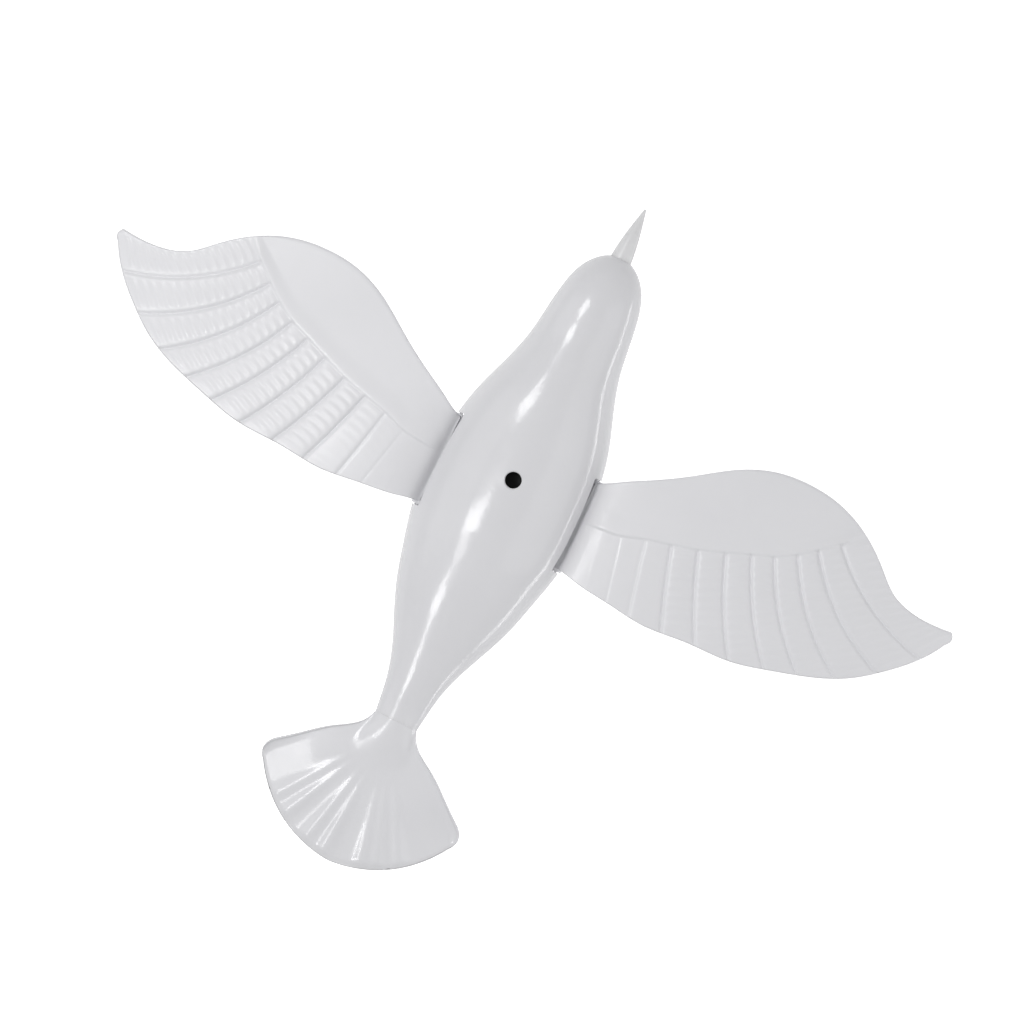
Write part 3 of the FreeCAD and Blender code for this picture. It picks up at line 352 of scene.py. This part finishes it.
# ---------------------------------------------------------------- wings
# Feather grooves of the right wing, root to tip, in millimetres: where each leaves the covert
# line (x, y), the x where it meets the trailing edge, the x on the leading edge ahead of it, and
# how far it bows towards the root. The last figure is the groove's share of the full depth.
GROOVES = [
    (31.4, -2.6, 31.4, 31.4, 0.0, 0.0),
    (41.6, -1.6, 46.0, 41.5, 0.0, 0.0),
    (50.4, -0.5, 57.0, 50.5, 0.0, 0.08),
    (60.3, 2.8, 68.0, 60.5, 0.2, 0.25),
    (71.0, 5.5, 83.4, 72.0, 0.6, 1.0),
    (82.0, 8.5, 98.5, 83.5, 1.0, 1.0),
    (93.0, 12.5, 114.0, 95.0, 1.6, 1.0),
    (103.0, 16.5, 129.0, 106.0, 2.2, 0.9),
    (112.0, 20.0, 143.0, 116.0, 3.0, 0.9),
    (120.5, 25.0, 158.0, 125.0, 3.8, 0.9),
    (127.4, 30.5, 173.0, 132.5, 4.6, 0.9),
    (135.0, 37.0, 187.0, 139.0, 5.0, 0.9),
    (144.0, 44.0, 195.6, 144.0, 0.0, 0.0),
]
LAST_FEATHER_X = GROOVES[-1][0] * MM
# Where the mesh columns lie across a feather, closest at its grooves.
STRIP_STEPS = (0.0, 0.025, 0.05, 0.08, 0.12, 0.18, 0.26, 0.36,
               0.46, 0.56, 0.66, 0.76, 0.84, 0.89, 0.93, 0.965)
FEATHER_ROWS = 130
ARM_ROWS = 28
GROOVE_DEPTH = 0.85 * MM
GROOVE_WIDTH = 0.65 * MM
PILLOW = 0.25 * MM
SHINGLE = 0.45 * MM              # lift of each feather's root side over its neighbour
RIB_HEIGHT = 0.25 * MM
RIB_PITCH = 4.0 * MM
RIB_SLANT = 0.8 * MM
RIB_SHIFT = 0.37                 # of a pitch, from one feather's ribs to the next one's
COVERT_STEP = 0.80 * MM          # step from the smooth arm down to the feathers
COVERT_REACH = 9.0 * MM          # how far up the arm the step fades
WING_RIM = 0.35 * MM
PEG_R = 1.2 * MM
PEG_SINK = 0.5 * MM              # of a peg below its clip
PEG_RISE = 4.5 * MM              # of a peg above its clip, into the blade
HUB_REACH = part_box("right_wing_hub")[1].x


def catmull_rom(points, position):
    """Point at a fractional index along a list of points."""
    last = len(points) - 1
    index = min(int(position), last - 1)
    share = position - index
    p0 = points[max(index - 1, 0)]
    p1 = points[index]
    p2 = points[index + 1]
    p3 = points[min(index + 2, last)]
    slope_in = (p2 - p0) / 2
    slope_out = (p3 - p1) / 2
    square = share * share
    cube = square * share
    return ((2 * cube - 3 * square + 1) * p1 + (cube - 2 * square + share) * slope_in
            + (3 * square - 2 * cube) * p2 + (cube - square) * slope_out)


def wing_plan():
    """Plan grids of the right wing: across the feathers, and rows from leading to trailing edge."""
    low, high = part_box("right_wing_blade")
    samples = np.linspace(low.x + 1e-5, high.x - 1e-5, 700)
    trailing, leading = outline_span("right_wing_blade", 0, samples)

    def lead(x):
        return np.interp(x, samples, leading)

    def trail(x):
        return np.interp(x, samples, trailing)

    along = np.linspace(0.0, 1.0, FEATHER_ROWS)
    curves = []
    arm_starts = []
    for start_x, start_y, end_x, lead_x, bow, _ in GROOVES[:-1]:
        start = np.array([start_x, start_y]) * MM
        end = np.array([end_x * MM, trail(end_x * MM)])
        run = end - start
        side = np.array([run[1], -run[0]]) / np.linalg.norm(run)
        control = (start + end) / 2 + side * bow * MM * 2
        curve = [(1 - t) ** 2 * start + 2 * t * (1 - t) * control + t * t * end for t in along]
        curves.append(np.array(curve))
        arm_starts.append(np.array([lead_x * MM, lead(lead_x * MM)]))
    edge_x = np.linspace(LAST_FEATHER_X, samples[-1], 600)
    edge = np.stack([edge_x, lead(edge_x)], axis=1)
    edge[-1] = (samples[-1], (lead(samples[-1]) + trail(samples[-1])) / 2)
    length = np.concatenate([[0], np.cumsum(np.linalg.norm(np.diff(edge, axis=0), axis=1))])
    even = along * length[-1]
    curves.append(np.stack([np.interp(even, length, edge[:, k]) for k in (0, 1)], axis=1))
    arm_starts.append(edge[0].copy())
    curves = np.array(curves)
    strips = len(curves) - 1
    across = [strip + step for strip in range(strips) for step in STRIP_STEPS] + [strips]
    plan = np.zeros((ARM_ROWS + FEATHER_ROWS, len(across), 2))
    for column, u in enumerate(across):
        feather = np.array([catmull_rom(curves[:, row], u) for row in range(FEATHER_ROWS)])
        if u < strips:
            gap = trail(feather[-1, 0]) - feather[-1, 1]
            feather[:, 1] += gap * along ** 3
        start = catmull_rom(np.array(arm_starts), u)
        start[1] = lead(start[0])
        for row in range(ARM_ROWS):
            share = row / ARM_ROWS
            plan[row, column] = start + (feather[0] - start) * share
        plan[ARM_ROWS:, column] = feather
    return plan, np.array(across)


def wing_relief(plan, across):
    """Height of the moulded feather detail over the plain wing, for each grid point."""
    rows, columns = plan.shape[:2]
    strips = int(across[-1])
    relief = np.zeros((rows, columns))
    strip = np.minimum(np.floor(across).astype(int), strips - 1)
    share = across - strip
    feather = plan[ARM_ROWS:]
    steps = np.linalg.norm(np.diff(feather, axis=0), axis=2)
    distance = np.concatenate([np.zeros((1, columns)), np.cumsum(steps, axis=0)])
    total = distance[-1]
    arm_length = np.linalg.norm(plan[0] - plan[ARM_ROWS], axis=1)
    starts = [list(across).index(k) for k in range(strips + 1)]
    for column in range(columns):
        k = strip[column]
        width = np.linalg.norm(feather[:, starts[k + 1]] - feather[:, starts[k]], axis=1)
        f = share[column]
        s = distance[:, column]
        grows = smoothstep(0.2 * MM, 2.2 * MM, s)
        height = np.zeros(FEATHER_ROWS)
        inner, outer = GROOVES[k][5], GROOVES[k + 1][5]
        height -= GROOVE_DEPTH * outer * grows * bell((1 - f) * width, GROOVE_WIDTH)
        height -= GROOVE_DEPTH * inner * grows * bell(f * width, GROOVE_WIDTH)
        height += SHINGLE * outer * grows * (1 - f) * smoothstep(0.0, 0.12, f)
        if k > 0:
            height += PILLOW * inner * grows * (1 - (2 * f - 1) ** 2)
            window = smoothstep(0.10, 0.22, f) * (1 - smoothstep(0.78, 0.90, f))
            ends = smoothstep(1.5 * MM, 3.5 * MM, s)
            ends = ends * (1 - smoothstep(-4.0 * MM, -1.5 * MM, s - total[column]))
            slant = RIB_SLANT * math.sin(math.pi * f)
            wave = 0.5 + 0.5 * np.cos(2 * math.pi * ((s + slant) / RIB_PITCH + RIB_SHIFT * k))
            height += RIB_HEIGHT * inner * window * ends * wave
        covert = min(1.0, arm_length[column] / (8 * MM)) * smoothstep(0.2, 1.0, across[column])
        height += COVERT_STEP * covert * (1 - smoothstep(0.0, 1.4 * MM, s))
        relief[ARM_ROWS:, column] = height
        back = arm_length[column] * (1 - np.arange(ARM_ROWS) / ARM_ROWS)
        relief[:ARM_ROWS, column] = COVERT_STEP * covert * (1 - smoothstep(0.0, COVERT_REACH, back))
    return relief


def wing_pegs():
    """Moulded pegs that pass through the hub and carry its push-on clips."""
    low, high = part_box("right_wing_clips")
    ring = (high.x - low.x) / 2
    work = bmesh.new()
    for share in (0.0, 0.5, 1.0):
        y = low.y + ring + share * (high.y - low.y - 2 * ring)
        bottom = low.z - PEG_SINK
        top = high.z + PEG_RISE
        place = Matrix.Translation(((low.x + high.x) / 2, y, (bottom + top) / 2))
        bmesh.ops.create_cone(work, cap_ends=True, segments=32, radius1=PEG_R * 0.8, radius2=PEG_R,
                              depth=top - bottom, matrix=place)
    mesh = bpy.data.meshes.new("pegs")
    work.to_mesh(mesh)
    work.free()
    return mesh


def joined_with(piece, mesh):
    work = bmesh.new()
    work.from_mesh(piece.data)
    work.from_mesh(mesh)
    work.to_mesh(piece.data)
    work.free()


def make_wings():
    plan, across = wing_plan()
    relief = wing_relief(plan, across)
    x, y = plan[:, :, 0], plan[:, :, 1]
    root_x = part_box("right_wing_blade")[0].x + 0.05 * MM
    z = surface_heights("right_wing_blade", np.maximum(x, root_x), y, True)
    clear_of_hub = smoothstep(HUB_REACH, HUB_REACH + 4 * MM, x)
    top = np.stack([x, y, z + relief], axis=2)
    bottom = np.stack([x, y, z - BLADE_THICKNESS + relief * clear_of_hub], axis=2)
    right = sheet_solid("right_wing_plate", top, bottom, WING_RIM)
    joined_with(right, wing_pegs())
    left = mirrored_piece(right, "left_wing_plate")
    for piece, side in ((right, "right"), (left, "left")):
        give(piece, "wing_white")
        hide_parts(side + "_wing_blade")
        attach(piece, side + "_wing")


# ---------------------------------------------------------------- tail
# Ridges of the tail fan: angle from straight back (degrees) and height (millimetres).
TAIL_RIDGES = [(-36, 1.3), (-27, 1.5), (-13, 1.4), (-4, 1.4), (13, 1.3), (20, 1.4), (30, 1.2)]
RIDGE_WIDTH = math.radians(3.6)
TAIL_ROWS = 120
TAIL_COLUMNS = 181
TAIL_BLUR = 40                   # rounds of smoothing of the fan's heights
NECK_Y = -112.0 * MM
FAN_ROOT_DEPTH = 20.0 * MM       # from the front of the tail's tongue to where its ridges meet
TAIL_RIM_HEIGHT = 1.0 * MM       # bead along the fan's sides
TAIL_DROOP = 2.0 * MM            # of the fan's middle towards its end
TAIL_END_DROP = 0.8 * MM         # of the rolled edge at the very end
TAIL_RIM = 0.4 * MM
FULL_RELIEF = 2.0 * MM           # thickness of the fan that carries the whole relief


def tail_plan():
    """Plan grid of the tail: rows from the neck to the end, columns from one side to the other."""
    low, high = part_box("tail_fan")
    neck_y = max(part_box("lower_shell")[0].y, NECK_Y)
    x_samples = np.linspace(low.x + 2e-5, high.x - 2e-5, 500)
    end_y, _ = outline_span("tail_fan", 0, x_samples)
    corner_y = end_y[-1]
    y_samples = np.linspace(neck_y - 1e-5, corner_y, 400)
    _, side_x = outline_span("tail_fan", 1, y_samples)
    side_x[-1] = x_samples[-1]
    t = np.linspace(0.0, 1.0, TAIL_ROWS)
    u = np.linspace(-1.0, 1.0, TAIL_COLUMNS)
    side_y = neck_y + (corner_y - neck_y) * t
    side = np.stack([np.interp(-side_y, -y_samples, side_x), side_y], axis=1)
    arc_x = x_samples[-1] * np.sin(u * math.pi / 2)
    arc = np.stack([arc_x, np.interp(arc_x, x_samples, end_y)], axis=1)
    arc[0, 1] = arc[-1, 1] = corner_y
    neck = np.stack([side[0, 0] * u, np.full_like(u, neck_y)], axis=1)
    mirror = np.array([-1.0, 1.0])
    plan = np.zeros((TAIL_ROWS, TAIL_COLUMNS, 2))
    for row in range(TAIL_ROWS):
        for column in range(TAIL_COLUMNS):
            v = (u[column] + 1) / 2
            s = t[row]
            ruled = (1 - s) * neck[column] + s * arc[column]
            sides = (1 - v) * side[row] * mirror + v * side[row]
            near = (1 - v) * neck[0] + v * neck[-1]
            far = (1 - v) * arc[0] + v * arc[-1]
            corners = (1 - s) * near + s * far
            plan[row, column] = ruled + sides - corners
    return plan


def tail_relief(plan):
    """Height of the moulded ridges, rim and rolled end over the plain fan."""
    x, y = plan[:, :, 0], plan[:, :, 1]
    root_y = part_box("tail_fan")[1].y - FAN_ROOT_DEPTH
    angle = np.arctan2(x, root_y - y)
    radius = np.hypot(x, root_y - y)
    grows = smoothstep(14 * MM, 62 * MM, radius)
    t = np.linspace(0.0, 1.0, plan.shape[0])[:, None]
    u = np.abs(np.linspace(-1.0, 1.0, plan.shape[1]))[None, :]
    relief = np.zeros(x.shape)
    for degrees, height in TAIL_RIDGES:
        relief += height * MM * grows * bell(angle - math.radians(degrees), RIDGE_WIDTH)
    relief *= 1 - 0.7 * smoothstep(0.93, 1.0, t)
    relief *= 1 - smoothstep(0.90, 0.97, u)
    rim = bell(u - 0.965, 0.02) * smoothstep(0.06, 0.3, t)
    relief += TAIL_RIM_HEIGHT * rim
    relief -= TAIL_DROOP * smoothstep(0.5, 1.0, t) * (1 - smoothstep(0.8, 1.0, u))
    relief -= TAIL_END_DROP * smoothstep(0.955, 1.0, t)
    return relief


def make_tail():
    plan = tail_plan()
    x, y = plan[:, :, 0], plan[:, :, 1]
    top_z = blurred(surface_heights("tail_fan", x, y, True), TAIL_BLUR)
    bottom_z = blurred(surface_heights("tail_fan", x, y, False), TAIL_BLUR)
    relief = tail_relief(plan)
    thin = np.minimum(1.0, np.maximum(top_z - bottom_z, 0.2 * MM) / FULL_RELIEF)
    top = np.stack([x, y, top_z + relief * thin], axis=2)
    bottom = np.stack([x, y, bottom_z], axis=2)
    tail = sheet_solid("tail_feathers", top, bottom, TAIL_RIM, square_start=True)
    give(tail, "tail_white")
    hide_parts("tail_fan")
    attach(tail, "frame")


# ---------------------------------------------------------------- stage, light and camera
# Softboxes and bounces: name, position, what it points at, width, height (metres), watts.
LIGHTS = [
    ("front softbox", (-0.60, 0.44, 1.10), (0, 0.06, 0), 0.29, 0.29, 2.1),
    ("middle softbox", (-0.42, -0.17, 1.15), (0, -0.03, 0), 0.25, 0.32, 2.1),
    ("rear softbox", (-0.46, -0.72, 1.05), (0, -0.07, 0), 0.21, 0.25, 1.4),
    ("tail softbox", (-0.40, -0.42, 1.10), (0, -0.15, 0), 0.20, 0.20, 0.55),
    ("left bounce", (-1.35, 0.0, 0.95), (0, 0, 0), 1.4, 1.2, 2.2),
    ("right bounce", (1.10, 0.15, 0.95), (0.05, 0.02, 0), 1.4, 1.2, 2.6),
    ("right strip", (1.30, 0.0, -0.10), (0, 0, 0), 1.6, 0.16, 3.4),
]
ROOM_BRIGHTNESS = 0.405
FLOOR_DROP = 0.30                # of the floor under the bird, in metres
FLOOR_GLOW = (0.22, 0.80)        # as the object and as the camera sees it


def area_light(name, position, aim, width, height, power):
    data = bpy.data.lights.new(name, "AREA")
    data.shape = "RECTANGLE"
    data.size = width
    data.size_y = height
    data.energy = power
    light = bpy.data.objects.new(name, data)
    bpy.context.scene.collection.objects.link(light)
    light.location = position
    light.rotation_euler = (Vector(aim) - Vector(position)).to_track_quat("-Z", "Y").to_euler()


def clear_from_below(tree, shader):
    """Lets a camera under the floor see the belly."""
    geometry = tree.nodes.new("ShaderNodeNewGeometry")
    clear = tree.nodes.new("ShaderNodeBsdfTransparent")
    mix = tree.nodes.new("ShaderNodeMixShader")
    tree.links.new(geometry.outputs["Backfacing"], mix.inputs["Fac"])
    tree.links.new(shader.outputs["BSDF"], mix.inputs[1])
    tree.links.new(clear.outputs["BSDF"], mix.inputs[2])
    tree.links.new(mix.outputs["Shader"], tree.nodes["Material Output"].inputs["Surface"])


def make_floor():
    low, _ = cad_box
    bpy.ops.mesh.primitive_plane_add(size=8.0, location=(0, 0, low[2] - FLOOR_DROP))
    floor = bpy.context.object
    floor.name = "floor"
    material, tree, shader = new_material("pale floor")
    cloud = noise_node(tree, 3.0, 2.0)
    colour = ramp_between(tree, cloud.outputs["Fac"], (0.93, 0.93, 0.93), (0.95, 0.95, 0.95))
    tree.links.new(colour.outputs["Color"], shader.inputs["Base Color"])
    shader.inputs["Roughness"].default_value = 0.9
    shader.inputs["Emission Color"].default_value = (1.0, 1.0, 1.0, 1.0)
    rays = tree.nodes.new("ShaderNodeLightPath")
    glow = tree.nodes.new("ShaderNodeMapRange")
    glow.inputs["To Min"].default_value, glow.inputs["To Max"].default_value = FLOOR_GLOW
    tree.links.new(rays.outputs["Is Camera Ray"], glow.inputs["Value"])
    tree.links.new(glow.outputs["Result"], shader.inputs["Emission Strength"])
    clear_from_below(tree, shader)
    floor.data.materials.append(material)


def make_light():
    world = bpy.data.worlds.new("pale room")
    bpy.context.scene.world = world
    world.use_nodes = True
    background = world.node_tree.nodes["Background"]
    background.inputs["Color"].default_value = (1.0, 1.0, 1.0, 1.0)
    background.inputs["Strength"].default_value = ROOM_BRIGHTNESS
    for row in LIGHTS:
        area_light(*row)


CAMERA_TURN = math.radians(26.0)     # the beak points this far clockwise of straight up
CAMERA_TARGET = Vector((0.0053, -0.0121, 0.004))
CAMERA_DISTANCE = 1.9
FRAME_WIDTH = 0.430


def make_camera():
    data = bpy.data.cameras.new("camera")
    data.sensor_width = 36.0
    data.lens = data.sensor_width * CAMERA_DISTANCE / FRAME_WIDTH
    camera = bpy.data.objects.new("camera", data)
    bpy.context.scene.collection.objects.link(camera)
    camera.location = CAMERA_TARGET + Vector((0, 0, CAMERA_DISTANCE))
    camera.rotation_euler = (0.0, 0.0, CAMERA_TURN)
    bpy.context.scene.camera = camera


make_camera()
finish_cad_nodes()
make_wings()
make_tail()
make_floor()
make_light()
bpy.context.scene.view_settings.view_transform = "Standard"
